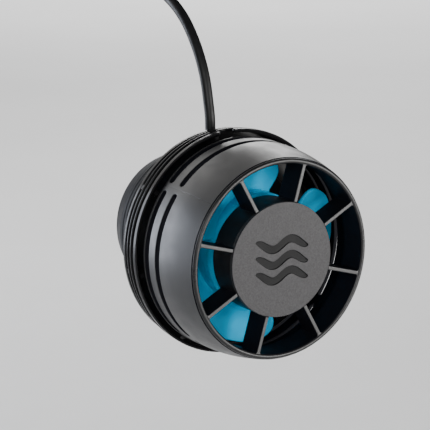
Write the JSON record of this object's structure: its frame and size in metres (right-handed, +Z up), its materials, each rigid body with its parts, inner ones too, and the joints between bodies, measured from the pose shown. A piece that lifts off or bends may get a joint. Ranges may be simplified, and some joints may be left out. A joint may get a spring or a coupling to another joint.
{
  "type": "wave maker pump",
  "caption": "Round magnet-mounted aquarium wave maker pump with a slotted nozzle, vaned guide grille, bladed propeller, hooped intake cage and a coiled lead.",
  "frame": {"origin": "centre of the rubber pad face that bears on the aquarium pane", "axes": "+Y points out of the pad into the pane, along the pump axis; the nozzle blows along -Y; +Z is up and the lead leaves at +Z"},
  "size_m": [0.1052, 0.1519, 0.1752],
  "materials": {
    "shell_plastic": "fine satin texture, moulded",
    "cap_plastic": "fine spark texture, with a smooth sunk emblem",
    "cage_plastic": "satin",
    "motor_plastic": "satin",
    "blade_plastic": "glossy turquoise",
    "rubber": "matte",
    "cable_jacket": "smooth satin PVC",
    "ceramic": "polished technical ceramic",
    "magnet_alloy": "nickel plated neodymium",
    "steel": "plain steel",
    "copper": "enamelled copper winding",
    "board": "glass-fibre circuit board",
    "brass": "contact pin",
    "polymer_washer": "acetal"
  },
  "bodies": {
    "motor": {"cable": "cable_jacket", "cable_coil": "cable_jacket", "cable_gland": "rubber", "cable_tail": "cable_jacket", "cage_screw_1": "steel", "cage_screw_2": "steel", "cage_screw_3": "steel", "cage_screw_4": "steel", "ceramic_shaft": "ceramic", "coil_tie": "rubber", "cover_screw_1": "steel", "cover_screw_2": "steel", "cover_screw_3": "steel", "cover_screw_4": "steel", "cover_seal": "rubber", "driver_board": "board", "glass_pad": "rubber", "intake_cage": "cage_plastic", "magnet_housing": "motor_plastic", "magnet_yoke": "steel", "motor_back_cover": "motor_plastic", "motor_housing": "motor_plastic", "mount_magnet": "magnet_alloy", "plug_body": "motor_plastic", "plug_boot": "rubber", "plug_pin": "brass", "plug_ring": "motor_plastic", "rear_shaft_bush": "rubber", "stator_coil_1": "copper", "stator_coil_2": "copper", "stator_coil_3": "copper", "stator_coil_4": "copper", "stator_coil_5": "copper", "stator_coil_6": "copper", "stator_core": "steel"},
    "front_cage": {"nozzle_shell": "shell_plastic", "guide_grille": "shell_plastic", "hub_cap": "cap_plastic", "front_shaft_bush": "rubber"},
    "propeller": {"propeller": "blade_plastic", "rotor_magnet": "magnet_alloy", "rotor_sleeve": "polymer_washer", "rotor_end_cap": "polymer_washer", "rotor_bearing": "ceramic", "front_thrust_washer": "polymer_washer", "rear_thrust_washer": "polymer_washer"}
  },
  "joints": [
    {"name": "propeller_spin", "type": "hinge", "parent": "motor", "child": "propeller", "pos_m": [0, -0.06, 0], "axis": [0, -1, 0], "continuous": true},
    {"name": "front_cage_twist", "type": "hinge", "parent": "motor", "child": "front_cage", "pos_m": [0, -0.05, 0], "axis": [0, -1, 0], "range_deg": [0, 20]}
  ]
}
